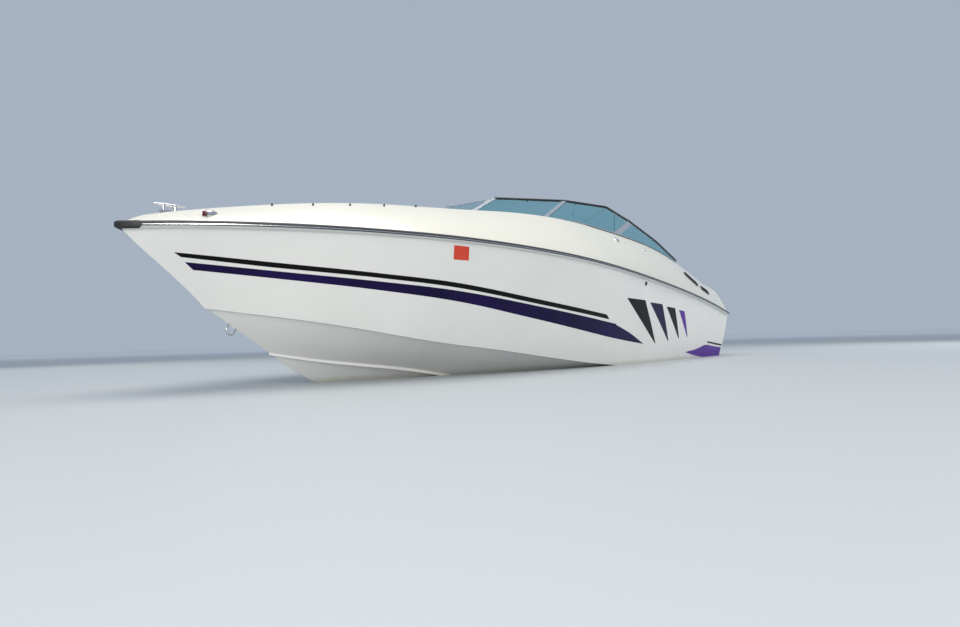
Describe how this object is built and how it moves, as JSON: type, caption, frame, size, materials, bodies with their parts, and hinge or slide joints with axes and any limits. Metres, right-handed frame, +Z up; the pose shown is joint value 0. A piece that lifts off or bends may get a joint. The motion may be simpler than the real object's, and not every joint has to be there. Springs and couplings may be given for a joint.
{
  "type": "open-bow sterndrive speedboat",
  "caption": "Afloat open-bow speedboat: deep-V planing hull, wrap-round windshield with a walk-through door, cockpit seats, sun pad over the engine and a steering, tilting sterndrive.",
  "frame": {"origin": "on the centreline, amidships of the hull, at the level of the water it floats in", "axes": "+X to the bow, +Y to port, +Z up"},
  "size_m": [8.0847, 2.6414, 2.567],
  "materials": {
    "gelcoat": "polished gelcoat",
    "rail_rubber": "semi-matt black extrusion with a pale insert",
    "frame_metal": "satin anodised, black outside",
    "tinted_glass": "blue-green tint",
    "dash_plastic": "grained",
    "wheel_rim": "soft black grip",
    "seat_shell": "moulded shell",
    "vinyl": "marine vinyl with piping",
    "engine_paint": "satin black paint",
    "drive_paint": "gloss black paint",
    "bellows_rubber": "matt rubber",
    "stainless": "polished stainless steel",
    "black_metal": "satin black paint"
  },
  "bodies": {
    "boat": {"hull": "gelcoat", "deck": "gelcoat", "rub_rail": "rail_rubber", "windshield_frame": "frame_metal", "port_front_glass": "tinted_glass", "port_side_glass": "tinted_glass", "starboard_front_glass": "tinted_glass", "starboard_side_glass": "tinted_glass", "helm_panel": "dash_plastic", "passenger_panel": "dash_plastic", "seat_shells": "seat_shell", "passenger_seat_cushion": "vinyl", "passenger_seat_back": "vinyl", "helm_seat_cushion": "vinyl", "helm_seat_back": "vinyl", "bench_cushion": "vinyl", "bench_back": "vinyl", "bow_port_cushion": "vinyl", "bow_port_backrest": "vinyl", "bow_starboard_cushion": "vinyl", "bow_starboard_backrest": "vinyl", "engine_block": "engine_paint", "strut_brackets": "stainless", "hatch_hinges": "stainless", "engine_vents": "dash_plastic", "throttle_control": "dash_plastic", "swim_platform": "gelcoat", "gimbal_housing": "drive_paint", "drive_bellows": "bellows_rubber", "bow_eye": "stainless", "cleats": "stainless", "bow_lights": "stainless", "stern_light_socket": "stainless", "stern_eyes": "stainless"},
    "engine_hatch": {"engine_hatch": "gelcoat", "sun_pad": "vinyl"},
    "hatch_strut_tubes": {"hatch_strut_tubes": "black_metal"},
    "hatch_strut_rods": {"hatch_strut_rods": "stainless"},
    "windshield_door": {"windshield_door_frame": "frame_metal", "windshield_door_glass": "tinted_glass"},
    "steering_wheel": {"steering_wheel": "wheel_rim"},
    "gimbal_ring": {"gimbal_ring": "drive_paint"},
    "drive_leg": {"drive_leg": "drive_paint"},
    "propeller": {"propeller": "stainless"},
    "trim_cylinders": {"trim_cylinders": "black_metal"},
    "trim_rods": {"trim_rods": "stainless"},
    "boarding_ladder": {"boarding_ladder": "stainless"}
  },
  "joints": [
    {"name": "hatch_hinge", "type": "hinge", "parent": "boat", "child": "engine_hatch", "pos_m": [-2.425, 0, 0.7984], "axis": [0, 1, 0], "range_deg": [0, 62]},
    {"name": "hatch_strut_swing", "type": "hinge", "parent": "boat", "child": "hatch_strut_tubes", "pos_m": [-2.53738, 0, 0.52024], "axis": [0, 1, 0], "range_deg": [-2, 34]},
    {"name": "hatch_strut_slide", "type": "slide", "parent": "hatch_strut_tubes", "child": "hatch_strut_rods", "axis": [-0.5997, 0, 0.8002], "range_m": [-0.005, 0.246]},
    {"name": "windshield_door_hinge", "type": "hinge", "parent": "boat", "child": "windshield_door", "pos_m": [0.74155, 0.277, 1.42762], "axis": [-0.8995, 0, 0.437], "range_deg": [0, 150]},
    {"name": "steering_wheel_turn", "type": "hinge", "parent": "boat", "child": "steering_wheel", "pos_m": [-0.46342, -0.56, 1.20494], "axis": [-0.9063, 0, 0.4226], "range_deg": [-510, 510]},
    {"name": "drive_steer", "type": "hinge", "parent": "boat", "child": "gimbal_ring", "pos_m": [-3.855, 0, -0.06], "axis": [0, 0, 1], "range_deg": [-28, 28]},
    {"name": "drive_trim", "type": "hinge", "parent": "gimbal_ring", "child": "drive_leg", "pos_m": [-3.855, 0, -0.06], "axis": [0, 1, 0], "range_deg": [-4, 42]},
    {"name": "propeller_spin", "type": "hinge", "parent": "drive_leg", "child": "propeller", "pos_m": [-4.27, 0, -0.67], "axis": [1, 0, 0], "continuous": true},
    {"name": "trim_cylinder_swing", "type": "hinge", "parent": "gimbal_ring", "child": "trim_cylinders", "pos_m": [-3.86, 0, -0.345], "axis": [0, 1, 0], "range_deg": [-6, 25]},
    {"name": "trim_rod_slide", "type": "slide", "parent": "trim_cylinders", "child": "trim_rods", "axis": [-0.7948, 0, 0.6069], "range_m": [-0.03, 0.168]},
    {"name": "ladder_hinge", "type": "hinge", "parent": "boat", "child": "boarding_ladder", "pos_m": [-4.08, 0.6, 0.315], "axis": [0, 1, 0], "range_deg": [0, 95]}
  ],
  "couplings": [
    {"joint": "hatch_strut_swing", "follows": "hatch_hinge", "ratio": 0.5},
    {"joint": "hatch_strut_slide", "follows": "hatch_hinge", "m_per_rad": 0.21778},
    {"joint": "steering_wheel_turn", "follows": "drive_steer", "ratio": -18},
    {"joint": "trim_cylinder_swing", "follows": "drive_trim", "ratio": 0.50868},
    {"joint": "trim_rod_slide", "follows": "drive_trim", "m_per_rad": 0.20252}
  ]
}
